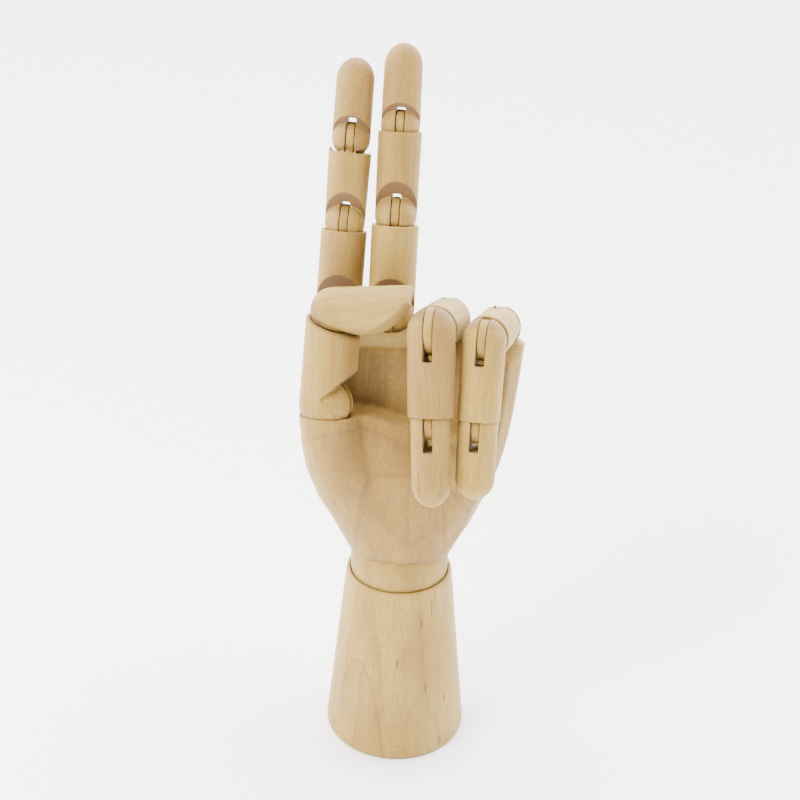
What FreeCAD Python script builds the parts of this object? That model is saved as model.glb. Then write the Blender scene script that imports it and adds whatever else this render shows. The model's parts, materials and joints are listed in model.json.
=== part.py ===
import FreeCAD, Part
import math
import os
import Sketcher

# Wooden artist's hand on a turned base: a palm on a sprung ball wrist, four fingers of three
# phalanges, and a thumb of two.  Millimetres, +Z up, origin at the centre of the base's foot.
# The hand's own frame starts at the wrist ball's centre: its +Z runs from wrist to fingers,
# its +Y is the back of the hand and its -Y the palm side.

os.makedirs("parts", exist_ok=True)
doc = FreeCAD.newDocument("ArtistHand")

# ---------------------------------------------------------------- driving dimensions

SIZES = {
    # base
    "base_radius": 30.0, "base_height": 80.2, "base_top_radius": 22.0, "base_edge": 0.8,
    "bore_radius": 7.0, "plug_radius": 9.0, "plug_thick": 6.0,
    # wrist ball, its sockets, and how far the palm leans back and turns on it
    "ball_radius": 20.4, "ball_rise": 3.5, "ball_bore": 7.5, "socket_gap": 0.3,
    "palm_lean": 15.0, "palm_turn": -3.0,
    # sprung link inside the wrist
    "wire_radius": 0.9, "ring_radius": 3.4, "ring_slack": 1.1, "spring_radius": 5.0,
    "spring_wire": 0.8, "spring_pitch": 2.6, "spring_turns": 12.0, "spring_foot": 18.0,
    "anchor_radius": 1.2, "anchor_grip": 8.0, "anchor_gap": 0.3, "link_gap": 0.1,
    "screw_radius": 1.6, "screw_tip": 36.0,
    # palm
    "palm_top": 98.4, "palm_top_curve": 340.0, "palm_top_centre": -8.0, "palm_wall": 13.0,
    "ledge_height": 66.0, "ledge_hollow": 3.5, "ledge_slope": 0.32, "ledge_break": -13.0,
    "palm_chamfer": 5.6, "palm_bevel": 14.0,
    # every hinge: its cup, notch, slot, glued tongue and cross pin
    "notch_ball": 0.965, "cup_gap": 0.25, "tip_round": 0.975, "tip_share": 0.72,
    "slot_width": 3.7, "tongue_thick": 3.2, "tongue_root": 7.0, "blade_share": 0.8,
    "pin_radius": 0.9, "pin_gap": 0.05, "pin_sink": 0.25, "pin_blind": 2.4,
    # thumb
    "thumb_x": -30.0, "thumb_y": -26.0, "thumb_lean_side": 2.9, "thumb_lean_back": 2.0,
    "thumb_turn": 80.0, "thumb_rim_slope": 19.6, "thumb_rim_drop": 2.2, "thumb_rim_rise": 1.6,
    "thumb_rim_turn": 25.0, "pad_radius": 29.3, "pad_start": 8.0, "pad_turn": 18.0, "pad_far_turn": 50.0,
}

# Each finger: where its first hinge stands across the palm, its sideways lean and the turn of
# its hinges.  Then, for its phalanges from the palm outwards: length between pins (the last
# one to the tip), radius at the hinge, radius at the far rim, bend at rest, and how far the
# hinge is turned about the bone below it.  The rest shape the hinge at the phalanx's root: how
# far the pin stands above the rim below it and where the notch starts, as shares of the
# radius, then the notch's slope in degrees, how far the slot reaches past the pin, and the
# radius of the tongue in it.
FINGERS = {
    "index": {
        "at": -29.2, "lean": 2.4, "turn": 0.0,
        "length": (36.5, 33.0, 31.0), "radius": (9.2, 8.0, 7.6), "rim": (9.1, 8.45),
        "bend": (0.0, 0.0, 0.0), "twist": (0.0, 0.0, 0.0),
        "rise": (0.45, 0.37, 0.72), "notch": (0.58, 0.35, 0.24),
        "slope": (51.0, 49.6, 43.5), "slot": (9.6, 8.5, 8.0), "tongue": (8.6, 7.3, 6.4)},
    "middle": {
        "at": -7.9, "lean": 0.6, "turn": 0.0,
        "length": (39.5, 34.8, 31.5), "radius": (9.4, 8.35, 7.7), "rim": (9.45, 8.65),
        "bend": (0.0, 0.0, 0.0), "twist": (0.0, 0.0, 0.0),
        "rise": (0.45, 0.45, 0.28), "notch": (0.41, 0.41, 0.24),
        "slope": (51.0, 51.0, 43.0), "slot": (9.6, 8.6, 7.2), "tongue": (8.6, 7.3, 6.4)},
    "ring": {
        "at": 15.3, "lean": 0.0, "turn": -8.3,
        "length": (37.5, 34.6, 32.7), "radius": (9.0, 9.25, 7.65), "rim": (9.3, 8.8),
        "bend": (88.3, 83.7, 6.0), "twist": (0.0, 3.6, 0.0),
        "rise": (0.45, 0.45, 0.28), "notch": (0.41, 0.45, 0.24),
        "slope": (51.0, 51.0, 43.0), "slot": (9.6, 11.5, 10.3), "tongue": (8.6, 9.2, 6.4)},
    "pinky": {
        "at": 35.9, "lean": 0.0, "turn": -10.0,
        "length": (34.3, 33.0, 28.4), "radius": (8.8, 8.4, 7.8), "rim": (8.75, 8.15),
        "bend": (89.5, 83.5, 6.0), "twist": (0.0, 0.0, 0.0),
        "rise": (0.45, 0.45, 0.28), "notch": (0.41, 0.45, 0.24),
        "slope": (51.0, 51.0, 43.0), "slot": (9.6, 9.7, 8.6), "tongue": (8.3, 7.8, 6.4)},
}
THUMB = {
    "length": (36.6, 30.4), "radius": (10.7, 9.45), "rim": (10.8,),
    "bend": (0.0, 82.0), "twist": (0.0, 0.0), "rise": (0.38, 0.38), "notch": (0.30, -1.10),
    "slope": (46.0, 64.0), "slot": (9.6, 8.6), "tongue": (8.6, 8.0)}
BONES = ("proximal", "middle", "distal")
THUMB_BONES = ("proximal", "distal")

sheet = doc.addObject("Spreadsheet::Sheet", "Sizes")
cell_row = 0


def add_cell(alias, value):
    """Write one driving dimension and give its cell a name."""
    global cell_row
    cell_row += 1
    sheet.set("A%d" % cell_row, alias)
    sheet.set("B%d" % cell_row, str(value))
    sheet.setAlias("B%d" % cell_row, alias)


for alias, value in SIZES.items():
    add_cell(alias, value)
for finger, bones, row in ([(name, BONES, FINGERS[name]) for name in FINGERS]
                           + [("thumb", THUMB_BONES, THUMB)]):
    for key, entry in row.items():
        if isinstance(entry, tuple):
            for bone, value in zip(bones, entry):
                add_cell("%s_%s_%s" % (finger, bone, key), value)
        else:
            add_cell("%s_%s" % (finger, key), entry)
doc.recompute()


class Dim:
    """A length that knows both its value and the sheet expression it comes from."""

    def __init__(self, value, text):
        self.value = value
        self.text = text

    def combine(self, other, sign, value):
        return Dim(value, "(%s %s %s)" % (self.text, sign, as_dim(other).text))

    def __add__(self, other):
        return self.combine(other, "+", self.value + as_dim(other).value)

    def __sub__(self, other):
        return self.combine(other, "-", self.value - as_dim(other).value)

    def __mul__(self, other):
        return self.combine(other, "*", self.value * as_dim(other).value)

    def __truediv__(self, other):
        return self.combine(other, "/", self.value / as_dim(other).value)

    def __neg__(self):
        return Dim(-self.value, "(0 - %s)" % self.text)


def as_dim(item):
    return item if isinstance(item, Dim) else Dim(float(item), repr(float(item)))


def size(alias):
    return Dim(float(sheet.get(alias)), "Sizes." + alias)


# ---------------------------------------------------------------- building blocks

X_AXIS = FreeCAD.Vector(1, 0, 0)
Y_AXIS = FreeCAD.Vector(0, 1, 0)
Z_AXIS = FreeCAD.Vector(0, 0, 1)


def solid(kind, name, at=(0, 0, 0), turn=None, **dims):
    """A Part primitive with its sizes and its place bound to the sheet."""
    item = doc.addObject("Part::" + kind, name)
    for prop, dim in dims.items():
        item.setExpression(prop, as_dim(dim).text)
    if turn is not None:
        item.Placement = FreeCAD.Placement(FreeCAD.Vector(0, 0, 0), turn)
    for letter, dim in zip("xyz", at):
        item.setExpression("Placement.Base." + letter, as_dim(dim).text)
    return item


def block(name, low, high):
    """A box between two corners."""
    sides = [as_dim(b) - as_dim(a) for a, b in zip(low, high)]
    return solid("Box", name, low, Length=sides[0], Width=sides[1], Height=sides[2])


def cross_rod(name, radius, half, at=(0, 0, 0)):
    """A cylinder along X, centred at a point."""
    start = (as_dim(at[0]) - half, at[1], at[2])
    turn = FreeCAD.Rotation(Y_AXIS, 90)
    return solid("Cylinder", name, start, turn, Radius=radius, Height=as_dim(half) * 2)


def fuse(name, items):
    joined = doc.addObject("Part::MultiFuse", name)
    joined.Shapes = items
    return joined


def cut(name, base, tool):
    rest = doc.addObject("Part::Cut", name)
    rest.Base = base
    rest.Tool = tool
    return rest


nodes = []


def finish(item, label, place=None):
    """Name a finished sub-part and put it where it belongs."""
    item.Label = label
    if place is not None:
        item.Placement = place
    nodes.append(item)
    return item


def turned_body(label, outline):
    """A PartDesign body turned from a closed outline of (radius, height) points about Z."""
    body = doc.addObject("PartDesign::Body", label + "_body")
    sketch = body.newObject("Sketcher::SketchObject", label + "_outline")
    planes = [f for f in body.Origin.OriginFeatures if f.Role == "XZ_Plane"]
    sketch.AttachmentSupport = (planes[0], "")
    sketch.MapMode = "FlatFace"
    spots = [FreeCAD.Vector(r.value, z.value, 0) for r, z in outline]
    lines = [sketch.addGeometry(Part.LineSegment(a, b), False)
             for a, b in zip(spots, spots[1:] + spots[:1])]
    for line, following in zip(lines, lines[1:] + lines[:1]):
        sketch.addConstraint(Sketcher.Constraint("Coincident", line, 2, following, 1))
    for line, (radius, height) in zip(lines, outline):
        for kind, dim in (("DistanceX", radius), ("DistanceY", height)):
            index = sketch.addConstraint(Sketcher.Constraint(kind, -1, 1, line, 1, dim.value))
            sketch.setExpression("Constraints[%d]" % index, dim.text)
    doc.recompute()
    turned = body.newObject("PartDesign::Revolution", label + "_turned")
    turned.Profile = sketch
    turned.ReferenceAxis = (sketch, ["V_Axis"])
    turned.Angle = 360
    doc.recompute()
    return body


# ---------------------------------------------------------------- frames

ball_z = size("base_height") + size("ball_rise")
hand_frame = FreeCAD.Placement(
    FreeCAD.Vector(0, 0, ball_z.value),
    FreeCAD.Rotation(Z_AXIS, size("palm_turn").value)
    * FreeCAD.Rotation(X_AXIS, -size("palm_lean").value))


def turned_about(axis, angle):
    return FreeCAD.Placement(FreeCAD.Vector(0, 0, 0), FreeCAD.Rotation(axis, angle))


def moved_by(x, y, z):
    return FreeCAD.Placement(FreeCAD.Vector(x, y, z), FreeCAD.Rotation())


# ---------------------------------------------------------------- base

def base_cone():
    edge = size("base_edge")
    bore = size("bore_radius")
    top = size("base_height")
    outline = [
        (bore, as_dim(0)), (size("base_radius") - edge, as_dim(0)), (size("base_radius"), edge),
        (size("base_top_radius"), top - edge), (size("base_top_radius") - edge, top), (bore, top)]
    body = turned_body("base_cone", outline)
    socket = solid("Sphere", "base_socket", (0, 0, ball_z),
                   Radius=size("ball_radius") + size("socket_gap"))
    seat = solid("Cylinder", "plug_seat", Radius=size("plug_radius"), Height=size("plug_thick"))
    nail = cross_rod("anchor_hole", size("anchor_radius"), anchor_half(), (0, 0, anchor_z()))
    finish(cut("base_cone_cut", body, fuse("base_hollows", [socket, seat, nail])), "base_cone")
    plug = solid("Cylinder", "base_plug_disc", Radius=size("plug_radius"),
                 Height=size("plug_thick"))
    finish(plug, "base_plug")
    pin = cross_rod("anchor_rod", size("anchor_radius"), anchor_half(), (0, 0, anchor_z()))
    finish(pin, "spring_anchor_pin")


def anchor_half():
    """Half the length of the cross pin that the spring hangs from."""
    return size("bore_radius") + size("anchor_grip")


def anchor_z():
    return (size("spring_foot") - size("spring_radius") + size("spring_wire")
            + size("anchor_radius") + size("anchor_gap"))


# ---------------------------------------------------------------- spring, link and screw

# Degrees between the points that the spring's turns and its hooks are drawn through
COIL_STEP = 24
HOOK_STEP = 12


def spring_path():
    """Points along the spring's wire: the lower hook, the turns, then the upper hook."""
    radius = size("spring_radius").value
    foot = size("spring_foot").value
    rise = size("spring_pitch").value * size("spring_turns").value
    hook = [math.radians(angle) for angle in range(180, COIL_STEP, -HOOK_STEP)]
    low = [FreeCAD.Vector(0, radius * math.cos(a), foot - radius * math.sin(a)) for a in hook]
    high = [FreeCAD.Vector(0, radius * math.cos(a), foot + rise + radius * math.sin(a))
            for a in reversed(hook)]
    whole = int(360 * size("spring_turns").value)
    coil = []
    for degrees in range(COIL_STEP, whole - COIL_STEP + 1, COIL_STEP):
        angle = math.radians(degrees)
        coil.append(FreeCAD.Vector(-radius * math.sin(angle), radius * math.cos(angle),
                                   foot + rise * degrees / whole))
    return low + coil + high


def wrist_spring():
    """Tension spring with a hook at each end, wound about the base's axis."""
    spots = spring_path()
    line = Part.BSplineCurve()
    line.interpolate(Points=spots)
    section = Part.Circle(spots[0], line.tangent(0)[0], size("spring_wire").value)
    wound = doc.addObject("Part::Feature", "spring_wire_wound")
    path = Part.Wire(line.toShape())
    wound.Shape = path.makePipeShell([Part.Wire(section.toShape())], True, True)
    finish(wound, "wrist_spring")
    top = size("spring_foot") + size("spring_pitch") * size("spring_turns")
    return top + size("spring_radius")


def wire_eye(name, centre_z, turn):
    return solid("Torus", name, (0, 0, centre_z), turn, Radius1=size("ring_radius"),
                 Radius2=size("wire_radius"))


def wrist_link(hook_top):
    """Steel link with an eye at each end: on the spring below, in the palm's screw above."""
    ring = size("ring_radius")
    low = hook_top + ring - size("spring_wire") - size("wire_radius") - size("link_gap")
    high = ball_z + size("ring_slack") - ring
    lower = wire_eye("link_low_eye", low, FreeCAD.Rotation(X_AXIS, 90))
    upper = wire_eye("link_high_eye", high, FreeCAD.Rotation(X_AXIS, 90))
    shank = solid("Cylinder", "link_shank", (0, 0, low + ring),
                  Radius=size("wire_radius"), Height=high - low - ring * 2)
    finish(fuse("link_joined", [lower, shank, upper]), "wrist_link")


def palm_screw():
    """Screw eye fixed in the palm, hooked in the link at the ball's centre."""
    ring = size("ring_radius")
    centre = ring - size("ring_slack")
    eye = wire_eye("screw_eye", centre, FreeCAD.Rotation(Y_AXIS, 90))
    neck = solid("Cylinder", "screw_neck", (0, 0, centre + ring),
                 Radius=size("wire_radius"), Height=size("ball_radius") - centre - ring)
    shank = solid("Cylinder", "screw_shank", (0, 0, size("ball_radius")),
                  Radius=size("screw_radius"), Height=size("screw_tip") - size("ball_radius"))
    finish(fuse("screw_joined", [eye, neck, shank]), "palm_eye_screw", hand_frame)


def wrist_ball():
    ball = solid("Sphere", "wrist_ball_blank", Radius=size("ball_radius"))
    bore = solid("Cylinder", "wrist_ball_bore", (0, 0, -size("ball_radius")),
                 Radius=size("ball_bore"), Height=size("ball_radius") * 2)
    finish(cut("wrist_ball_cut", ball, bore), "wrist_ball", hand_frame)


# ---------------------------------------------------------------- palm

# Sections of the palm from the wrist up: height, half width on the thumb side and on the
# little finger's side, depth of the back, depth of the front on those two sides, squareness.
PALM_SECTIONS = (
    (3.5, 20.4, 20.4, 20.4, 20.4, 20.4, 2.0),
    (11.0, 25.4, 24.8, 18.6, 24.0, 22.5, 2.1),
    (23.0, 31.0, 31.2, 15.6, 27.5, 24.0, 2.3),
    (36.0, 35.2, 37.0, 13.4, 30.0, 24.0, 2.45),
    (52.0, 38.6, 41.6, 12.3, 30.0, 22.0, 2.6),
    (70.0, 39.6, 44.3, 12.0, 27.0, 20.0, 2.8),
    (88.0, 39.2, 46.2, 12.0, 24.0, 18.5, 2.9),
    (104.0, 38.8, 46.9, 11.8, 22.0, 17.5, 2.9),
)
# The mound at the thumb's root: height, centre x and y, radius.
MOUND_SECTIONS = (
    (14.0, -9.0, -5.0, 15.5),
    (24.0, -14.5, -9.0, 16.5),
    (38.0, -21.5, -15.5, 15.5),
    (53.0, -27.0, -22.0, 12.8),
    (70.0, -30.2, -26.4, 11.0),
)
SECTION_POINTS = 28


def palm_section(height, left, right, back, front_left, front_right, square):
    """One rounded cross-section of the palm, as a closed curve."""
    spots = []
    for step in range(SECTION_POINTS):
        angle = 2 * math.pi * step / SECTION_POINTS
        across = math.copysign(abs(math.cos(angle)) ** (2 / square), math.cos(angle))
        along = math.copysign(abs(math.sin(angle)) ** (2 / square), math.sin(angle))
        x = across * (right if across > 0 else left)
        share = (x + left) / (left + right)
        front = front_left + (front_right - front_left) * share
        spots.append(FreeCAD.Vector(x, along * (back if along > 0 else front), height))
    curve = Part.BSplineCurve()
    curve.interpolate(Points=spots, PeriodicFlag=True)
    return Part.Wire(curve.toShape())


def palm_blank():
    """The carved palm before its hollows: the hand's body with the thumb's mound."""
    hand = Part.makeLoft([palm_section(*row) for row in PALM_SECTIONS], True, False)
    rounds = [Part.Wire(Part.Circle(FreeCAD.Vector(x, y, z), Z_AXIS, radius).toShape())
              for z, x, y, radius in MOUND_SECTIONS]
    mound = Part.makeLoft(rounds, True, False)
    blank = doc.addObject("Part::Feature", "palm_blank")
    blank.Shape = hand.fuse(mound)
    return blank


# How far the palm's cutting tools reach beyond the wood: sideways, in front and above
PALM_SIDE = 60
PALM_FRONT = 70
PALM_LID = 120


def ledge_profile(drop):
    """Outline of the hollow in front of the palm's wall, in the YZ plane."""
    wall = -size("palm_wall").value
    floor = size("ledge_height").value - drop
    bend = size("ledge_hollow").value
    centre = FreeCAD.Vector(0, wall - bend, floor + bend)
    corner = bend * math.sqrt(0.5)
    top = FreeCAD.Vector(0, wall, PALM_LID)
    side = FreeCAD.Vector(0, wall, floor + bend)
    mid = centre + FreeCAD.Vector(0, corner, -corner)
    foot = FreeCAD.Vector(0, wall - bend, floor)
    out = FreeCAD.Vector(0, -PALM_FRONT, floor)
    lid = FreeCAD.Vector(0, -PALM_FRONT, PALM_LID)
    edges = [Part.LineSegment(top, side).toShape(), Part.Arc(side, mid, foot).toShape(),
             Part.LineSegment(foot, out).toShape(), Part.LineSegment(out, lid).toShape(),
             Part.LineSegment(lid, top).toShape()]
    return Part.Wire(edges)


def palm_hollow():
    """What is milled from the palm's front: level at the thumb, then falling away from it."""
    start = size("ledge_break").value
    level = Part.Face(ledge_profile(0))
    level.translate(FreeCAD.Vector(-PALM_SIDE, 0, 0))
    level = level.extrude(FreeCAD.Vector(start + PALM_SIDE, 0, 0))
    span = PALM_SIDE - start
    fall = size("ledge_slope").value * span
    near = ledge_profile(0)
    near.translate(FreeCAD.Vector(start, 0, 0))
    far = ledge_profile(fall)
    far.translate(FreeCAD.Vector(PALM_SIDE, 0, 0))
    falling = Part.makeLoft([near, far], True, True)
    hollow = doc.addObject("Part::Feature", "palm_hollow")
    hollow.Shape = level.fuse(falling)
    return hollow


def palm_top_at(x):
    """Height of the palm's top surface, a wide arc, at one place across the hand."""
    reach = x - size("palm_top_centre").value
    curve = size("palm_top_curve").value
    return size("palm_top").value - curve + math.sqrt(curve ** 2 - reach ** 2)


def palm_crown():
    """What the palm keeps under its arched top, whose front edge is bevelled at 45 degrees."""
    curve = size("palm_top_curve")
    centre_x = size("palm_top_centre")
    centre_z = size("palm_top") - curve
    bevel = size("palm_bevel")
    front = -size("palm_chamfer")
    to_front = FreeCAD.Rotation(X_AXIS, 90)
    back = solid("Cylinder", "crown_back", (centre_x, front, centre_z),
                 FreeCAD.Rotation(X_AXIS, -90), Radius=curve, Height=PALM_SIDE)
    edge = solid("Cone", "crown_edge", (centre_x, front, centre_z), to_front,
                 Radius1=curve, Radius2=curve - bevel, Height=bevel)
    low = solid("Cylinder", "crown_front", (centre_x, front - bevel, centre_z), to_front,
                Radius=curve - bevel, Height=PALM_SIDE)
    return fuse("palm_crown", [back, edge, low])


def palm():
    blank = palm_blank()
    topped = doc.addObject("Part::Common", "palm_topped")
    topped.Base = blank
    topped.Tool = palm_crown()
    dish = solid("Sphere", "palm_dish", Radius=size("ball_radius") + size("socket_gap"))
    screw = solid("Cylinder", "palm_screw_hole", Radius=size("screw_radius"),
                  Height=size("screw_tip"))
    hollows = [palm_hollow(), dish, screw]
    for finger in FINGERS:
        hollows += socket_tools(finger, finger_frame(finger))
    hollows += socket_tools("thumb", thumb_frame())
    finish(cut("palm_cut", topped, fuse("palm_hollows", hollows)), "palm", hand_frame)


def socket_tools(limb_name, place):
    """The cup and the tongue's slot in the palm for a limb's first hinge."""
    first = limb_name + "_proximal_"
    radius = size(first + "radius")
    cup = solid("Sphere", "palm_cup_" + limb_name, Radius=radius + size("cup_gap"))
    half = size("tongue_thick") / 2
    wide = size(first + "tongue") * size("blade_share")
    slot = block("palm_slot_" + limb_name, (-half, -wide, tongue_foot(radius)), (half, wide, 0))
    tools = [cup, slot]
    for tool in tools:
        place_in(tool, place)
    return tools


def place_in(item, frame):
    """Carry a bound primitive into another frame."""
    doc.recompute()
    spot = item.Placement
    for letter in "xyz":
        item.setExpression("Placement.Base." + letter, None)
    item.Placement = frame.multiply(spot)


# ---------------------------------------------------------------- fingers

def tongue_foot(radius):
    """How far below the pin a tongue's root ends."""
    return -(radius + size("cup_gap") + size("tongue_root"))


def pin_rise(limb_name, bone):
    """How far a hinge's pin stands above the rim that its ball sits in."""
    start = "%s_%s_" % (limb_name, bone)
    return size(start + "radius") * size(start + "rise")


def finger_frame(finger):
    """The frame of a finger's first hinge in the hand's frame, before it bends."""
    x = size(finger + "_at").value
    z = palm_top_at(x) + pin_rise(finger, "proximal").value
    return (moved_by(x, 0, z).multiply(turned_about(Y_AXIS, size(finger + "_lean").value))
            .multiply(turned_about(Z_AXIS, size(finger + "_turn").value)))


def thumb_frame():
    """The frame of the thumb's first hinge in the hand's frame."""
    z = size("ledge_height").value + pin_rise("thumb", "proximal").value
    return (moved_by(size("thumb_x").value, size("thumb_y").value, z)
            .multiply(turned_about(Y_AXIS, size("thumb_lean_side").value))
            .multiply(turned_about(X_AXIS, -size("thumb_lean_back").value))
            .multiply(turned_about(Z_AXIS, size("thumb_turn").value)))


def phalanx(limb_name, bone, following):
    """Wood and cutting tools of one phalanx, with its pin at the origin, palm side at -Y.

    following is the next phalanx outwards; without it this one ends in a rounded tip.
    """
    name = "%s_%s" % (limb_name, bone)
    length = size(name + "_length")
    radius = size(name + "_radius")
    if following:
        height = length - pin_rise(limb_name, following)
        rim = size(name + "_rim")
    else:
        height = length * size("tip_share")
        rim = radius * size("tip_round")
    if limb_name == "thumb":
        height = height + size("thumb_rim_rise") if following else length
    shaft = solid("Cone", name + "_shaft", Radius1=radius, Radius2=rim, Height=height)
    knuckle = solid("Sphere", name + "_knuckle", Radius=radius)
    wood = [shaft, knuckle]
    if not following and limb_name != "thumb":
        wood.append(solid("Ellipsoid", name + "_tip", (0, 0, height), Radius1=length - height,
                          Radius2=rim, Radius3=rim))
    through = size("pin_blind") / 2
    hole = cross_rod(name + "_pin_hole", size("pin_radius"), radius, (through, 0, 0))
    tools = [slot_tool(name), notch_tool(name, radius), hole]
    if following:
        tools += cup_tools(limb_name, following, length)
    return wood, tools


def cup_tools(limb_name, following, length):
    """The cup and the tongue's slot at a phalanx's far end."""
    name = "%s_%s" % (limb_name, following)
    radius = size(name + "_radius")
    cup = solid("Sphere", name + "_cup", (0, 0, length), Radius=radius + size("cup_gap"))
    half = size("tongue_thick") / 2
    wide = size(name + "_tongue") * size("blade_share")
    slot = block(name + "_tongue_slot", (-half, -wide, tongue_foot(radius)), (half, wide, 0))
    place_in(slot, moved_by(0, 0, length.value).multiply(
        turned_about(Z_AXIS, size(name + "_twist").value)))
    return [cup, slot]


TOOL_REACH = 20
WEDGE_SIDE = 40


def slot_tool(name):
    half = size("slot_width") / 2
    return block(name + "_slot_box", (-half, -TOOL_REACH, -TOOL_REACH),
                 (half, TOOL_REACH, size(name + "_slot")))


def notch_tool(name, radius):
    """The wedge cut from the palm side, which leaves a slightly smaller ball."""
    start = size(name + "_notch") * radius
    turn = FreeCAD.Rotation(X_AXIS, 180 - size(name + "_slope").value)
    wedge = solid("Box", name + "_wedge", (-TOOL_REACH, 0, start), turn,
                  Length=WEDGE_SIDE, Width=WEDGE_SIDE, Height=WEDGE_SIDE)
    kept = solid("Sphere", name + "_kept_ball", Radius=radius * size("notch_ball"))
    return cut(name + "_notch_cut", wedge, kept)


def tongue(name, place):
    """The flat tongue glued into one piece, with the next piece's pin through its end."""
    half = size("tongue_thick") / 2
    reach = size(name + "_tongue")
    wide = reach * size("blade_share")
    blade = block(name + "_blade", (-half, -wide, tongue_foot(size(name + "_radius"))),
                  (half, wide, 0))
    end = cross_rod(name + "_end", reach, half)
    hole = cross_rod(name + "_hole", size("pin_radius") + size("pin_gap"), half * 2)
    joined = fuse(name + "_tongue_wood", [blade, end])
    finish(cut(name + "_tongue_cut", joined, hole), name + "_tongue", place)


def hinge_pin(name, place):
    """A pin driven in from one side and stopping short of the other."""
    radius = size(name + "_radius")
    blind = size("pin_blind")
    sink = size("pin_sink")
    pin = cross_rod(name + "_rod", size("pin_radius"), radius - (blind + sink) / 2,
                    ((blind - sink) / 2, 0, 0))
    place_in(pin, place)
    finish(pin, name + "_pin")


def limb(limb_name, bones, frame, shaping):
    """All the pieces of one finger or of the thumb, from its first hinge outwards."""
    place = hand_frame.multiply(frame)
    for bone, following in zip(bones, bones[1:] + (None,)):
        name = "%s_%s" % (limb_name, bone)
        place = place.multiply(turned_about(Z_AXIS, size(name + "_twist").value))
        tongue(name, place)
        place = place.multiply(turned_about(X_AXIS, size(name + "_bend").value))
        wood, tools = phalanx(limb_name, bone, following)
        blank = fuse(name + "_wood", wood)
        if bone in shaping:
            blank = shaping[bone](blank)
        finish(cut(name + "_cut", blank, fuse(name + "_tools", tools)), name, place)
        hinge_pin(name, place)
        hinge_places[name] = place.copy()
        place = place.multiply(moved_by(0, 0, size(name + "_length").value))


def thumb_rim(blank):
    """Slope the rim of the thumb's second hinge down towards the side that it bends to."""
    height = size("thumb_proximal_length") - pin_rise("thumb", "distal") - size("thumb_rim_drop")
    turn = (FreeCAD.Rotation(Z_AXIS, -size("thumb_rim_turn").value)
            * FreeCAD.Rotation(X_AXIS, size("thumb_rim_slope").value))
    corner = turn.multVec(FreeCAD.Vector(-WEDGE_SIDE / 2, -WEDGE_SIDE / 2, 0))
    bevel = solid("Box", "thumb_rim_bevel", (corner.x, corner.y, height + corner.z), turn,
                  Length=WEDGE_SIDE, Width=WEDGE_SIDE, Height=WEDGE_SIDE)
    return cut("thumb_proximal_bevelled", blank, bevel)


def thumb_pad(blank):
    """Round off the pad of the thumb's end towards its outer and its inner side."""
    reach = size("pad_radius")
    radius = size("thumb_distal_radius")
    kept = []
    for side, angle in (("outer", -size("pad_turn").value), ("inner", size("pad_far_turn").value)):
        turn = FreeCAD.Rotation(Z_AXIS, angle)
        centre = turn.multVec(FreeCAD.Vector(-WEDGE_SIDE, reach.value - radius.value, 0))
        kept.append(solid("Cylinder", "thumb_pad_" + side,
                          (centre.x, centre.y, size("pad_start")),
                          turn * FreeCAD.Rotation(Y_AXIS, 90), Radius=reach,
                          Height=WEDGE_SIDE * 2))
    shaped = doc.addObject("Part::MultiCommon", "thumb_distal_shaped")
    shaped.Shapes = [blank] + kept
    return shaped


hinge_places = {}
base_cone()
wrist_link(wrist_spring())
wrist_ball()
palm()
palm_screw()
for finger in FINGERS:
    limb(finger, BONES, finger_frame(finger), {})
limb("thumb", THUMB_BONES, thumb_frame(), {"proximal": thumb_rim, "distal": thumb_pad})

# ---------------------------------------------------------------- check and write

doc.recompute()
for item in doc.Objects:
    if "Invalid" in item.State or "Error" in item.State:
        raise RuntimeError("%s failed: %s" % (item.Name, item.State))
for item in nodes:
    shape = item.Shape
    if shape.isNull() or not shape.isValid():
        raise RuntimeError("%s has no valid shape" % item.Label)
    shape.exportStep("parts/%s.step" % item.Label)
print("%d sub-parts written" % len(nodes))
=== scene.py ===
import json
import math

import bmesh
import bpy
import numpy as np
from mathutils import Matrix, Vector


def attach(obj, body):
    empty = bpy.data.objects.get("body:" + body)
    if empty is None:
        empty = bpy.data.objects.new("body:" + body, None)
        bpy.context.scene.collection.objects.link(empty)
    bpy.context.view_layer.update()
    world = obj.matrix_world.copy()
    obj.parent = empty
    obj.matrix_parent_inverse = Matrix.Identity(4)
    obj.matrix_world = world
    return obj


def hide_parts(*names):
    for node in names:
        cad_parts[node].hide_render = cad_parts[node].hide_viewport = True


# A jointed wooden artist's hand.  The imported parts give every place; this script gives each
# wooden piece softened edges, engraved nails and grain that runs the way the piece was cut.

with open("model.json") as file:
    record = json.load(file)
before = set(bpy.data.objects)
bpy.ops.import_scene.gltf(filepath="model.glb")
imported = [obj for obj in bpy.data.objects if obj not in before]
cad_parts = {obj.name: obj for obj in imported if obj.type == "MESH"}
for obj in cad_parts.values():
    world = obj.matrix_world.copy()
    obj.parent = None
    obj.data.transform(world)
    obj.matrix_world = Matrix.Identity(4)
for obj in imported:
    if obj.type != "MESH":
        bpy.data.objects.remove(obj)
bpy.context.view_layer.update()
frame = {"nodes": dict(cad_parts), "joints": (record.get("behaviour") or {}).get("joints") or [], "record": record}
MM = 0.001

# ---------------------------------------------------------------- the pieces' numbers
# Places are in millimetres in a piece's own frame: across, towards the back, and up or along.

# How brown each piece's wood is, from 0 for the palest to 1 for the brownest
TONES = {
    "base_cone": 0.0, "palm": 0.72, "wrist_ball": 0.2,
    "index_proximal": 0.55, "index_middle": 0.25, "index_distal": 0.75,
    "middle_proximal": 0.0, "middle_middle": 0.60, "middle_distal": 0.65,
    "ring_proximal": 0.20, "ring_middle": 0.75, "ring_distal": 0.40,
    "pinky_proximal": 0.10, "pinky_middle": 0.10, "pinky_distal": 0.0,
    "thumb_proximal": 0.20, "thumb_distal": 0.0,
}
# The tone of the tongues and the plug
OTHER_TONE = 0.3

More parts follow.
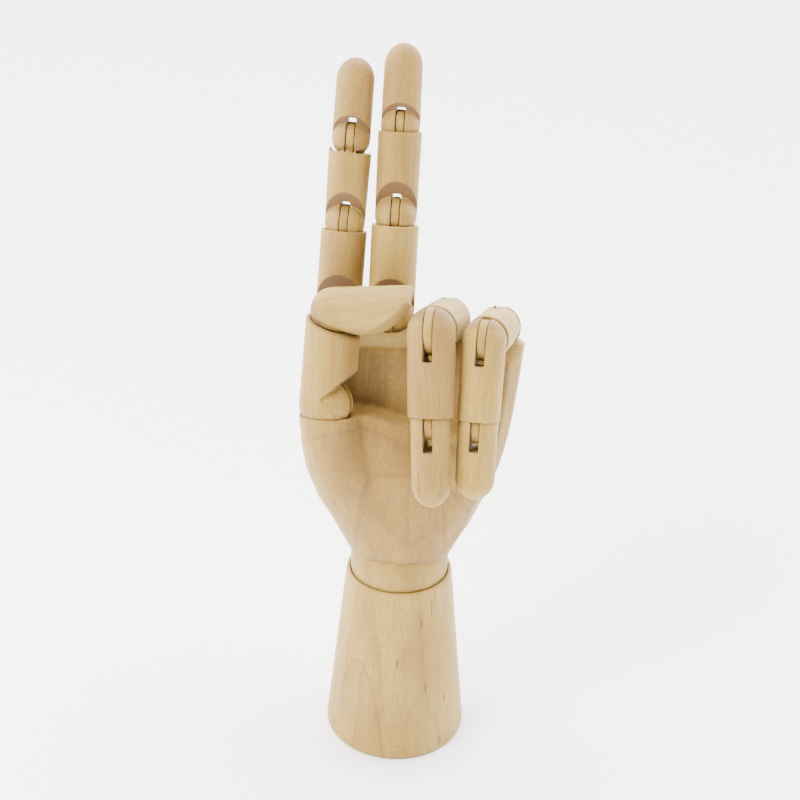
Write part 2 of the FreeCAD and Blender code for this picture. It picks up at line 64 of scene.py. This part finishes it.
# Growth rings that the front of the base and of the palm cut across: across, up, fall, power
CONE_ARCHES = ((-15.5, 45.5, 0.33, 2.0),)
PALM_ARCHES = ((1.0, 43.5, 2.3e-9, 8.0), (-20.0, 61.5, 0.015, 2.0))
# Pith flecks on the front of the base: across, up, half width, half length
CONE_MARKS = (
    (0.4, 47.5, 0.55, 3.2), (9.9, 65.3, 0.5, 3.4), (13.8, 71.0, 0.4, 4.8),
    (12.6, 34.0, 0.45, 3.8), (20.8, 25.0, 0.4, 3.2), (19.8, 4.8, 0.4, 3.4),
    (-26.5, 5.5, 0.5, 2.6), (1.4, 6.8, 0.9, 0.5),
)

# How far across and towards the back from its tree's middle each piece was cut
RING_OFFSETS = {"palm": (8.0, 30.0), "base_cone": (20.0, 42.0)}
OTHER_RING_OFFSET = (12.0, 26.0)
# How long its board may be, and how far it is turned in it either way, in radians
BOARD_LENGTH = 900
BOARD_TURN = 0.6

# Voxel size in millimetres, and rounds of smoothing
BIG_MESH = (0.6, 8)
TIP_MESH = (0.25, 6)
OTHER_MESH = (0.32, 6)
# Vertices this near each other are joined first, and each round moves a vertex this share
WELD = 0.002
SMOOTH_FACTOR = 0.5
# Sanding leaves waves of these lengths, longer along the piece, with a random start
SAND_DEPTH = 0.05
SAND_WAVES = 9
WAVE_LENGTH = (5.0, 16.0)
WAVE_LENGTHWISE = 0.4
WAVE_START = 6.3

# The nails: length over the tip's radius, half the width in radians, how far round they sit
NAILS = {
    "index": (2.0, 0.68, 0.0), "middle": (2.0, 0.68, 0.3), "ring": (2.15, 0.62, 0.8),
    "pinky": (1.85, 0.6, -1.4), "thumb": (1.5, 0.7, 0.0),
}
# How deep a nail is cut at its middle, how much more at its sides, and its outline's score
NAIL_STEP = 0.08
NAIL_FACET = 0.28
NAIL_SCORE = 0.16
# How wide the score is, and how soft the edge of the facets inside it
NAIL_LINE = 0.22
NAIL_EDGE = 0.15
# The corners' radius over half the width, and where it has run out, in radii below the tip
NAIL_CORNER = 0.45
NAIL_FADE = 0.5

# Fibres torn up along a rim: each pair is where the tear starts and is full, or fades and ends
TORN_FIBRES = 90
TORN_HEIGHT = 2.0
TORN_POWER = 1.5
TORN_BELOW_TOP = (2.2, 1.0)
TORN_BELOW_SKIN = (1.4, 0.7)
TORN_FROM = (-1.6, -1.3)
TORN_TO = (0.2, 0.5)

# Where painted shade darkens the wood, partly over sawn end grain: each pair is where it starts or ends, and
# facings are cosines
WALL_FACING = (0.7, 0.95)
WALL_BACK = (-16.0, -14.0)
WALL_START = (56.0, 62.0)
WALL_END = (82.0, 94.0)
WALL_THUMB_SIDE = (-18.0, 2.0)
WALL_SHADE_SHARE = 0.04
WALL_THUMB_SHADOW_SHARE = 0.2
FOOT_SHADOW = (4.0, 6.5)
FOOT_SHADOW_SHARE = 0.4
RIM_BELOW_TOP = (0.9, 0.3)
RIM_RADIUS = (20.6, 21.4)
RIM_SHADE_SHARE = 0.4
UNDER_FACING = (0.35, 0.62)
UNDER_FRONT = (0.2, 0.7)
UNDER_SHARE = 0.6
SLOT_DEPTH = (0.8, 2.5)
SLOT_SIDE = (1.75, 1.95)
SLOT_RISE = (3.0, 7.0)
SLOT_END = (11.0, 13.0)
SLOT_SHADE_SHARE = 0.3
SLOT_RISE_SHADE_SHARE = 0.4

# Painted light makes the palm's upward faces paler; its thumb side is a little paler, and a stain browns its
# middle
UPWARD_FACING = (0.25, 0.6)
UPWARD_START = (50.0, 56.0)
UPWARD_PAINTED_LIGHT = 0.9
THUMB_SIDE = (-32.0, -12.0)
THUMB_SIDE_PALER = 0.25
STAIN_AT = (5.0, 56.0)
STAIN_RADIUS = 8.0
STAIN_TONE = 0.45


# ---------------------------------------------------------------- where each piece lies

JOINTS = {joint["child"]: joint for joint in frame["joints"]}
FAR_END = 0.8


def node_points(node):
    """All the vertices of a CAD node, in metres."""
    return vertex_array(frame["nodes"][node].data)


def bone_frame(body):
    """Hinge point and axes of a phalanx: across its hinge, towards its back, and along it."""
    joint = JOINTS[body]
    pin = np.array(joint["pos_m"])
    across = np.array(joint["axis"])
    if body.startswith("thumb"):
        across = -across
    spread = node_points(body) - pin
    spread -= np.outer(spread @ across, across)
    reach = np.linalg.norm(spread, axis=1)
    far = spread[reach > reach.max() * FAR_END].mean(axis=0)
    along = far / np.linalg.norm(far)
    back = np.cross(along, across)
    return pin, np.array([across, back, along])


def hand_frame():
    """The wrist ball's centre and the hand's axes: across, towards the back, and along."""
    nod = JOINTS["wrist"]
    sway = JOINTS["palm"]
    across = np.array(nod["axis"])
    back = np.array(sway["axis"])
    return np.array(nod["pos_m"]), np.array([across, back, np.cross(across, back)])


def place_of(node):
    """The origin and the axes of the frame that a wooden piece's grain runs in."""
    if node in ("base_cone", "base_plug"):
        return np.zeros(3), np.eye(3)
    if node in ("palm", "wrist_ball"):
        return hand_frame()
    return bone_frame(node.removesuffix("_tongue"))


# ---------------------------------------------------------------- meshes

def vertex_array(mesh, what="co"):
    """A mesh's vertices in metres, or their normals, as rows of three."""
    values = np.empty(len(mesh.vertices) * 3)
    mesh.vertices.foreach_get(what, values)
    return values.reshape(-1, 3)


def set_vertices(mesh, points):
    mesh.vertices.foreach_set("co", points.ravel())
    mesh.update()


def step(values, low, high):
    """Smooth rise from 0 at low to 1 at high."""
    share = np.clip((values - low) / (high - low), 0.0, 1.0)
    return share * share * (3.0 - 2.0 * share)


def step_below(values, top, depths):
    """Smooth rise from 0 to 1 between two depths below a top."""
    return step(values, top - depths[0], top - depths[1])


def own_coordinates(piece, place):
    """Vertices in millimetres, and their normals, in the frame of the piece's own grain."""
    origin, axes = place
    mesh = piece.data
    local = (vertex_array(mesh) - origin) @ axes.T / MM
    return local, vertex_array(mesh, "normal") @ axes.T


def set_own_coordinates(piece, place, local):
    """Move the vertices to places given in the frame of the piece's own grain."""
    origin, axes = place
    set_vertices(piece.data, local * MM @ axes + origin)


def remeshed(node, name, voxel, rounds):
    """A copy of a CAD node with an even mesh and edges softened as sandpaper leaves them."""
    mesh = frame["nodes"][node].data.copy()
    mesh.name = name
    bm = bmesh.new()
    bm.from_mesh(mesh)
    bmesh.ops.remove_doubles(bm, verts=bm.verts, dist=WELD * MM)
    bm.to_mesh(mesh)
    bm.free()
    rough = bpy.data.objects.new(name + "_rough", mesh)
    bpy.context.scene.collection.objects.link(rough)
    remesh = rough.modifiers.new("even", "REMESH")
    remesh.mode = "VOXEL"
    remesh.voxel_size = voxel * MM
    soften = rough.modifiers.new("soften", "SMOOTH")
    soften.factor = SMOOTH_FACTOR
    soften.iterations = rounds
    graph = bpy.context.evaluated_depsgraph_get()
    even = bpy.data.meshes.new_from_object(rough.evaluated_get(graph))
    bpy.data.objects.remove(rough)
    even.name = name
    even.materials.clear()
    piece = bpy.data.objects.new(name, even)
    bpy.context.scene.collection.objects.link(piece)
    return piece


def sand(piece, place, seed):
    """Slight unevenness that hand sanding leaves on a turned or carved surface."""
    points = vertex_array(piece.data)
    normals = vertex_array(piece.data, "normal")
    local = own_coordinates(piece, place)[0]
    random = np.random.default_rng(seed)
    lift = np.zeros(len(points))
    for _ in range(SAND_WAVES):
        direction = random.normal(size=3)
        direction[2] *= WAVE_LENGTHWISE
        direction /= np.linalg.norm(direction)
        length = random.uniform(*WAVE_LENGTH)
        start = random.uniform(0, WAVE_START)
        lift += np.sin(local @ direction * 2 * math.pi / length + start)
    points += normals * (lift / SAND_WAVES * SAND_DEPTH * MM)[:, None]
    set_vertices(piece.data, points)


def nail(piece, place, reach, half_turn, offset):
    """A finger nail cut into the back of a fingertip: a scored outline round two flat facets.

    reach is the nail's length over the tip's radius; half_turn is half its width, in radians;
    offset is how far round from the back it sits, in millimetres.
    """
    local, facing = own_coordinates(piece, place)
    radius = np.hypot(local[:, 0], local[:, 1]).max()
    tip = local[:, 2].max()
    around = radius * np.arctan2(local[:, 0], local[:, 1]) - offset
    half = radius * half_turn
    corner = NAIL_CORNER * half
    side = np.abs(around) - half + corner
    base = (tip - reach * radius) - local[:, 2] + corner
    outside = np.hypot(np.maximum(side, 0.0), np.maximum(base, 0.0))
    edge = outside + np.minimum(np.maximum(side, base), 0.0) - corner
    fade = 1.0 - step(local[:, 2], tip - radius, tip - NAIL_FADE * radius)
    inside = 1.0 - step(edge, -NAIL_EDGE, NAIL_EDGE)
    facets = inside * (NAIL_STEP + NAIL_FACET * np.minimum(np.abs(around) / half, 1.0))
    score = NAIL_SCORE * np.exp(-(edge / NAIL_LINE) ** 2)
    depth = (facets + score) * fade * (local[:, 1] > 0.0)
    set_own_coordinates(piece, place, local - facing * depth[:, None])


def torn_rim(piece, place, seed):
    """Fibres torn up along part of a phalanx's upper rim."""
    local = own_coordinates(piece, place)[0]
    random = np.random.default_rng(seed)
    angle = np.arctan2(local[:, 0], -local[:, 1])
    heights = random.uniform(0.0, 1.0, TORN_FIBRES) ** TORN_POWER
    turn = (angle + math.pi) / (2.0 * math.pi) * (TORN_FIBRES - 1)
    height = np.interp(turn, np.arange(TORN_FIBRES), heights)
    radius = np.hypot(local[:, 0], local[:, 1])
    rim = step_below(local[:, 2], local[:, 2].max(), TORN_BELOW_TOP)
    rim *= step_below(radius, radius.max(), TORN_BELOW_SKIN)
    torn_side = (1.0 - step(angle, *TORN_TO)) * step(angle, *TORN_FROM)
    local[:, 2] += TORN_HEIGHT * height * rim * torn_side
    set_own_coordinates(piece, place, local)


def browned(node, local, facing):
    """How dark each point is painted: end grain with painted shade below, painted shade in slots, on the thumb's
    wall, at the palm's foot and in the base's rim.
    """
    across, back, up = local.T
    if node == "palm":
        # Painted shade on the wall behind the thumb, over its sawn wood, strongest beside the thumb where its
        # shadow falls
        wall = step(-facing[:, 1], *WALL_FACING) * step(back, *WALL_BACK)
        wall *= step(up, *WALL_START) * (1.0 - step(up, *WALL_END))
        thumb_side = 1.0 - step(across, *WALL_THUMB_SIDE)
        # Painted shadow along the palm's lower edge, just above the wrist ball
        foot_shadow = 1.0 - step(up, *FOOT_SHADOW)
        return wall * (WALL_SHADE_SHARE + WALL_THUMB_SHADOW_SHARE * thumb_side) + FOOT_SHADOW_SHARE * foot_shadow
    if node == "base_cone":
        # Painted shade in the gap inside the base's rim, round the wrist ball
        rim = step_below(up, up.max(), RIM_BELOW_TOP)
        return RIM_SHADE_SHARE * rim * (1.0 - step(np.hypot(across, back), *RIM_RADIUS))
    if node not in TONES or node == "wrist_ball":
        return np.zeros(len(local))
    # Sawn end grain and painted shade on faces turned down, more on those that also face the front
    front = step(-facing[:, 1], *UNDER_FRONT)
    under = step(-facing[:, 2], *UNDER_FACING) * (UNDER_SHARE + (1.0 - UNDER_SHARE) * front)
    radius = np.hypot(across, back)
    # Painted shade inside the slots, stronger higher up, over their sawn walls
    sunk = step(radius.max() - radius, *SLOT_DEPTH)
    slot = sunk * (1.0 - step(np.abs(across), *SLOT_SIDE))
    slot *= SLOT_SHADE_SHARE + SLOT_RISE_SHADE_SHARE * step(up, *SLOT_RISE)
    slot *= 1.0 - step(up, *SLOT_END)
    return np.maximum(under, slot)


def toned(node, local, facing):
    """The tone of each point: a piece's own; on the palm, a paler thumb side, a stain, and painted light on upward
    faces.
    """
    across, _, up = local.T
    tone = np.full(len(local), TONES.get(node, OTHER_TONE))
    if node == "palm":
        # Painted light: the palm's upward faces are made paler
        upward = step(facing[:, 2], *UPWARD_FACING) * step(up, *UPWARD_START)
        tone -= THUMB_SIDE_PALER * (1.0 - step(across, *THUMB_SIDE))
        aside, above = across - STAIN_AT[0], up - STAIN_AT[1]
        tone += STAIN_TONE * np.exp(-(aside / STAIN_RADIUS) ** 2 - (above / STAIN_RADIUS) ** 2)
        tone *= 1.0 - UPWARD_PAINTED_LIGHT * upward
    return tone


def write_grain(piece, node, place, seed):
    """Give the wood's own coordinates, in millimetres, and its colours to every vertex.

    grain is across, towards the back and along the grain, shifted to where the piece was cut
    from its board; next comes how far sawn end grain and painted shade darken the surface;
    tone is the piece's own colour, with painted light on the palm's upward faces;
    own is the place in the piece's own frame.
    """
    local, facing = own_coordinates(piece, place)
    random = np.random.default_rng(seed)
    shift = np.array([*RING_OFFSETS.get(node, OTHER_RING_OFFSET), random.uniform(0, BOARD_LENGTH)])
    turn = random.uniform(-BOARD_TURN, BOARD_TURN)
    spin = np.array([[math.cos(turn), -math.sin(turn)], [math.sin(turn), math.cos(turn)]])
    grain = local + shift
    grain[:, :2] = grain[:, :2] @ spin.T
    # How far sawn end grain and painted shade darken each point
    brown = browned(node, local, facing)
    tone = toned(node, local, facing)
    for name, values in (("grain", grain), ("brown", brown), ("tone", tone), ("own", local)):
        kind, field = ("FLOAT_VECTOR", "vector") if values.ndim == 2 else ("FLOAT", "value")
        layer = piece.data.attributes.new(name, kind, "POINT")
        layer.data.foreach_set(field, values.astype(np.float32).ravel())


def smooth(piece):
    piece.data.polygons.foreach_set("use_smooth", [True] * len(piece.data.polygons))


# ---------------------------------------------------------------- materials

class Nodes:
    """Short names for building the node tree of a material or a world."""

    def __init__(self, owner):
        owner.use_nodes = True
        self.owner = owner
        self.tree = owner.node_tree
        self.shader = self.tree.nodes.get("Principled BSDF")

    def add(self, kind, **settings):
        node = self.tree.nodes.new(kind)
        for key, value in settings.items():
            setattr(node, key, value)
        return node

    def join(self, source, target):
        self.tree.links.new(source, target)

    def attribute(self, name, output):
        return self.add("ShaderNodeAttribute", attribute_name=name).outputs[output]

    def parts(self, vector):
        """The three parts of a vector."""
        node = self.add("ShaderNodeSeparateXYZ")
        self.join(vector, node.inputs[0])
        return tuple(node.outputs)

    def math(self, operation, *values):
        node = self.add("ShaderNodeMath", operation=operation)
        for socket, value in zip(node.inputs, values):
            if isinstance(value, (int, float)):
                socket.default_value = value
            else:
                self.join(value, socket)
        return node.outputs[0]

    def noise(self, place, fineness, detail, roughness):
        """Noise that varies this finely along each of the three axes."""
        stretch = self.add("ShaderNodeVectorMath", operation="MULTIPLY")
        self.join(place, stretch.inputs[0])
        stretch.inputs[1].default_value = fineness
        node = self.add("ShaderNodeTexNoise")
        self.join(stretch.outputs[0], node.inputs["Vector"])
        node.inputs["Scale"].default_value = 1.0
        node.inputs["Detail"].default_value = detail
        node.inputs["Roughness"].default_value = roughness
        return node.outputs["Fac"]

    def ramp(self, value, low, high, to_low=0.0, to_high=1.0):
        """Smooth change from to_low at low to to_high at high."""
        node = self.add("ShaderNodeMapRange", interpolation_type="SMOOTHSTEP")
        self.join(value, node.inputs["Value"])
        for name, number in (("From Min", low), ("From Max", high),
                             ("To Min", to_low), ("To Max", to_high)):
            node.inputs[name].default_value = number
        return node.outputs["Result"]

    def mix(self, share, first, second):
        """A colour that goes from first to second as share goes from 0 to 1."""
        node = self.add("ShaderNodeMix", data_type="RGBA")
        sockets = [s for s in node.inputs if s.enabled]
        for socket, value in zip(sockets, (share, first, second)):
            if isinstance(value, tuple):
                socket.default_value = (*value, 1.0)
            else:
                self.join(value, socket)
        return [s for s in node.outputs if s.enabled][0]

    def paint(self, share, strength, under, colour):
        """Lay a colour over another where share is high, no more strongly than strength."""
        return self.mix(self.math("MULTIPLY", share, strength), under, colour)

    def strongest(self, shares):
        total = shares[0]
        for share in shares[1:]:
            total = self.math("MAXIMUM", total, share)
        return total


PALE = (0.375, 0.256, 0.048)
TAN = (0.25, 0.137, 0.021)
PALE_BROWN = (0.265, 0.153, 0.028)
TAN_BROWN = (0.17, 0.085, 0.014)
RING_BROWN = (0.13, 0.057, 0.012)
FLECK_BROWN = (0.10, 0.04, 0.012)
# The colour of sawn end grain, also used for painted shade
SAWN_AND_SHADE_BROWN = (0.095, 0.042, 0.018)
ARCH_SHARE = 0.35
MARK_SHARE = 0.8
SAWN_AND_SHADE_SHARE = 0.85

# The wood's patterns: fineness per millimetre along each axis of the grain, detail, roughness
WARP = ((0.02, 0.02, 0.006), 2.0, 0.5)
FAINTNESS = ((0.05, 0.05, 0.008), 2.0, 0.5)
STREAK = ((1.1, 1.1, 0.03), 5.0, 0.65)
BLOTCH = ((0.07, 0.07, 0.025), 4.0, 0.6)
MOTTLE = ((1.1, 1.1, 0.6), 3.0, 0.65)
SPECK = ((1.1, 1.1, 0.16), 2.0, 0.5)
FIBRE = ((3.2, 3.2, 0.12), 3.0, 0.6)
WARP_REACH = 26.0

# The ramps that turn each pattern into a share: from, to, and the shares there if not 0 and 1
LATE_WOOD = (0.62, 0.95)
RING_END = (1.0, 0.96)
FAINTNESS_RAMP = (0.40, 0.72)
SPECK_RAMP = (0.70, 0.80)
BLOTCH_RAMP = (0.30, 0.75)
STREAK_RAMP = (0.40, 0.72, 0.0, 0.60)
MOTTLE_RAMP = (0.40, 0.62, 0.0, 0.5)
ROUGHNESS_RAMP = (0.2, 0.8, 0.5, 0.66)

# An arched ring darkens slowly from inside and ends sharply, a fleck is darkest in its middle,
# and both fade out behind a piece's front
ARCH_INSIDE = (-2.6, -0.1)
ARCH_OUTSIDE = (0.35, 0.0)
MARK_RAMP = (1.0, 0.15)
FRONT_ONLY = (0.0, -4.0)

BUMP_STRENGTH = 0.45
BUMP_DEPTH = 0.15
FIBRE_BUMP = 0.6
MOTTLE_BUMP = 0.5


def arch_lines(n, arches):
    """Growth rings met by the front surface, as arches: apex across and up, fall and power."""
    across, back, up = n.parts(n.attribute("own", "Vector"))
    lines = []
    for apex_across, apex_up, fall, power in arches:
        aside = n.math("ABSOLUTE", n.math("SUBTRACT", across, apex_across))
        drop = n.math("MULTIPLY", n.math("POWER", aside, power), fall)
        gap = n.math("ADD", n.math("SUBTRACT", up, apex_up), drop)
        lean = n.math("MULTIPLY", n.math("POWER", aside, power - 1.0), fall * power)
        steep = n.math("SQRT", n.math("ADD", n.math("MULTIPLY", lean, lean), 1.0))
        near = n.math("DIVIDE", gap, steep)
        lines.append(n.math("MULTIPLY", n.ramp(near, *ARCH_INSIDE), n.ramp(near, *ARCH_OUTSIDE)))
    return n.math("MULTIPLY", n.strongest(lines), n.ramp(back, *FRONT_ONLY))


def dark_marks(n, marks):
    """Short dark pith flecks: place across and up, half width and half length."""
    across, back, up = n.parts(n.attribute("own", "Vector"))
    spots = []
    for mark_across, mark_up, half_width, half_length in marks:
        aside = n.math("DIVIDE", n.math("SUBTRACT", across, mark_across), half_width)
        above = n.math("DIVIDE", n.math("SUBTRACT", up, mark_up), half_length)
        spread = n.math("ADD", n.math("MULTIPLY", aside, aside), n.math("MULTIPLY", above, above))
        spots.append(n.ramp(spread, *MARK_RAMP))
    return n.math("MULTIPLY", n.strongest(spots), n.ramp(back, *FRONT_ONLY))


def growth_rings(n, grain, spacing):
    """Late wood's dark side of each growth ring, faint in places: rings bend with the warp."""
    across, back, _ = n.parts(grain)
    squares = n.math("ADD", n.math("MULTIPLY", across, across), n.math("MULTIPLY", back, back))
    warp = n.math("MULTIPLY", n.noise(grain, *WARP), WARP_REACH)
    bent = n.math("ADD", n.math("SQRT", squares), warp)
    phase = n.math("FRACT", n.math("DIVIDE", bent, spacing))
    late = n.math("MULTIPLY", n.ramp(phase, *LATE_WOOD), n.ramp(phase, *RING_END))
    return n.math("MULTIPLY", late, n.ramp(n.noise(grain, *FAINTNESS), *FAINTNESS_RAMP))


def wood(name, ring_share, fleck_share, ring_spacing, arches=(), marks=()):
    """Pale close-grained wood: growth rings, fibre streaks, small flecks, and sawn faces darkened by end grain and
    by painted shade.

    Each piece carries its own tone, from 0 for the palest to 1 for the brownest.
    """
    n = Nodes(bpy.data.materials.new(name))
    grain = n.attribute("grain", "Vector")
    tone = n.attribute("tone", "Fac")
    streak = n.noise(grain, *STREAK)
    mottle = n.noise(grain, *MOTTLE)

    tan = n.mix(tone, TAN, TAN_BROWN)
    colour = n.mix(tone, PALE, PALE_BROWN)
    colour = n.mix(n.ramp(n.noise(grain, *BLOTCH), *BLOTCH_RAMP), colour, tan)
    colour = n.mix(n.ramp(streak, *STREAK_RAMP), colour, tan)
    colour = n.mix(n.ramp(mottle, *MOTTLE_RAMP), colour, tan)
    colour = n.paint(growth_rings(n, grain, ring_spacing), ring_share, colour, RING_BROWN)
    specks = n.ramp(n.noise(grain, *SPECK), *SPECK_RAMP)
    colour = n.paint(specks, fleck_share, colour, FLECK_BROWN)
    if arches:
        colour = n.paint(arch_lines(n, arches), ARCH_SHARE, colour, RING_BROWN)
    if marks:
        colour = n.paint(dark_marks(n, marks), MARK_SHARE, colour, FLECK_BROWN)
    # Sawn end grain and painted shade in slots, on the thumb's wall, at the palm's foot and round the rim darken
    # the wood
    colour = n.paint(n.attribute("brown", "Fac"), SAWN_AND_SHADE_SHARE, colour, SAWN_AND_SHADE_BROWN)
    n.join(colour, n.shader.inputs["Base Color"])

    n.join(n.ramp(streak, *ROUGHNESS_RAMP), n.shader.inputs["Roughness"])
    n.shader.inputs["Specular IOR Level"].default_value = 0.3
    n.shader.inputs["Sheen Weight"].default_value = 0.12
    n.shader.inputs["Sheen Roughness"].default_value = 0.5
    n.shader.inputs["Sheen Tint"].default_value = (1.0, 0.85, 0.6, 1.0)

    fibres = n.math("MULTIPLY", n.noise(grain, *FIBRE), FIBRE_BUMP)
    bump = n.add("ShaderNodeBump")
    bump.inputs["Strength"].default_value = BUMP_STRENGTH
    bump.inputs["Distance"].default_value = BUMP_DEPTH * MM
    n.join(n.math("ADD", fibres, n.math("MULTIPLY", mottle, MOTTLE_BUMP)), bump.inputs["Height"])
    n.join(bump.outputs[0], n.shader.inputs["Normal"])
    return n.owner


DARK_STEEL = (0.42, 0.41, 0.40)
BRIGHT_STEEL = (0.62, 0.61, 0.59)
# Fineness per metre along each axis, detail and roughness of the scratches
SCRATCHES = ((900.0, 900.0, 60.0), 3.0, 0.5)
STEEL_ROUGHNESS_RAMP = (0.2, 0.8, 0.28, 0.45)


def steel(name):
    """Drawn steel wire: fine lengthwise scratches and a slightly uneven shine."""
    n = Nodes(bpy.data.materials.new(name))
    scratches = n.noise(n.add("ShaderNodeTexCoord").outputs["Object"], *SCRATCHES)
    n.join(n.mix(scratches, DARK_STEEL, BRIGHT_STEEL), n.shader.inputs["Base Color"])
    n.join(n.ramp(scratches, *STEEL_ROUGHNESS_RAMP), n.shader.inputs["Roughness"])
    n.shader.inputs["Metallic"].default_value = 1.0
    return n.owner


# ---------------------------------------------------------------- light, floor and camera

# How bright the tent is at the horizon, in front, and at the sides and back; where from front
# to back the one turns into the other, and how far up the horizon's band fades
HORIZON = 5.0
FRONT_WALL = 0.2
SIDE_WALL = 9.6
WALL_TURN = (-0.6, 0.3)
HORIZON_BAND = (0.03, 0.12)
TENT_WHITE = (1.0, 0.995, 0.985, 1.0)

KEY_AT = (-0.85, -0.62, 1.05)
KEY_AIM = (0.0, 0.0, 0.15)
KEY_WIDTH = 0.7
KEY_POWER = 38.0
KEY_WHITE = (1.0, 0.98, 0.95)

FLOOR_WIDTH = 40.0
FLOOR_WHITE = (0.93, 0.93, 0.93, 1.0)
FLOOR_ROUGHNESS = 0.9

# The photograph's camera: its tilt and roll in degrees, and how far it is from its target
PITCH = math.radians(27.676)
ROLL = math.radians(1.715)
AWAY = 0.55086
TARGET = Vector((-0.001727, 0.0, 0.157886))
LENS = 63.0
SENSOR = 36.0
NEAREST = 0.01
FARTHEST = 20.0


def tent():
    """A light tent: bright walls at the sides and back, dimmer in front, an even horizon."""
    world = bpy.data.worlds.new("tent")
    n = Nodes(world)
    _, depth, height = n.parts(n.add("ShaderNodeTexCoord").outputs["Generated"])
    blend = n.add("ShaderNodeMix")
    n.join(n.ramp(height, *HORIZON_BAND), blend.inputs["Factor"])
    blend.inputs["A"].default_value = HORIZON
    n.join(n.ramp(depth, *WALL_TURN, FRONT_WALL, SIDE_WALL), blend.inputs["B"])
    sky = n.tree.nodes["Background"]
    sky.inputs["Color"].default_value = TENT_WHITE
    n.join(blend.outputs["Result"], sky.inputs["Strength"])
    bpy.context.scene.world = world


def key_light():
    """One soft lamp from the upper left in front."""
    lamp = bpy.data.lights.new("key", "AREA")
    lamp.shape = "DISK"
    lamp.size = KEY_WIDTH
    lamp.energy = KEY_POWER
    lamp.color = KEY_WHITE
    holder = bpy.data.objects.new("key", lamp)
    holder.location = KEY_AT
    holder.rotation_mode = "QUATERNION"
    holder.rotation_quaternion = (Vector(KEY_AIM) - Vector(KEY_AT)).to_track_quat("-Z", "Y")
    bpy.context.scene.collection.objects.link(holder)


def white_floor():
    """The white surface that the hand stands on."""
    bpy.ops.mesh.primitive_plane_add(size=FLOOR_WIDTH, location=(0.0, 0.0, 0.0))
    floor = bpy.context.object
    floor.name = "floor"
    n = Nodes(bpy.data.materials.new("floor_white"))
    n.shader.inputs["Base Color"].default_value = FLOOR_WHITE
    n.shader.inputs["Roughness"].default_value = FLOOR_ROUGHNESS
    n.shader.inputs["Specular IOR Level"].default_value = 0.0
    floor.data.materials.append(n.owner)


def camera():
    """The view from in front and above, tilted down and rolled a little as a hand-held one is."""
    look = Vector((0.0, math.cos(PITCH), -math.sin(PITCH)))
    up = Vector((0.0, math.sin(PITCH), math.cos(PITCH)))
    right = Vector((1.0, 0.0, 0.0))
    rolled_right = right * math.cos(ROLL) + up * math.sin(ROLL)
    rolled_up = up * math.cos(ROLL) - right * math.sin(ROLL)
    lens = bpy.data.cameras.new("camera")
    lens.lens = LENS
    lens.sensor_width = SENSOR
    lens.clip_start = NEAREST
    lens.clip_end = FARTHEST
    eye = bpy.data.objects.new("camera", lens)
    turned = Matrix((rolled_right, rolled_up, -look)).transposed()
    eye.matrix_world = Matrix.Translation(TARGET - look * AWAY) @ turned.to_4x4()
    bpy.context.scene.collection.objects.link(eye)
    bpy.context.scene.camera = eye


# ---------------------------------------------------------------- the pieces

# Each wood's share of growth rings, share of flecks and ring spacing in millimetres
WOODS = {
    "base_wood": wood("base_wood", 0.40, 0.4, 7.0, CONE_ARCHES, CONE_MARKS),
    "palm_wood": wood("palm_wood", 0.35, 0.3, 6.0, PALM_ARCHES),
    "finger_wood": wood("finger_wood", 0.22, 0.35, 5.0),
    "tongue_wood": wood("tongue_wood", 0.15, 0.2, 4.0),
}
STEEL = steel("steel_wire")

slots = {part["node"]: part["material_slot"] for part in frame["record"]["subparts"]}
body_of = {node: body for body, nodes in frame["record"]["behaviour"]["bodies"].items()
           for node in nodes}

for number, node in enumerate(sorted(slots)):
    finish = slots[node]
    if finish == "steel_wire":
        wire = frame["nodes"][node]
        wire.data.materials.clear()
        wire.data.materials.append(STEEL)
        smooth(wire)
        continue
    big = node in ("palm", "base_cone", "wrist_ball")
    tip = node.endswith("_distal")
    place = place_of(node)
    piece = remeshed(node, node + "_wood", *(BIG_MESH if big else TIP_MESH if tip else OTHER_MESH))
    sand(piece, place, number)
    if tip:
        nail(piece, place, *NAILS[node.removesuffix("_distal")])
    if node == "index_middle":
        torn_rim(piece, place, number)
    write_grain(piece, node, place, number)
    smooth(piece)
    piece.data.materials.append(WOODS[finish])
    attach(piece, body_of[node])
    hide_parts(node)

tent()
key_light()
white_floor()
camera()
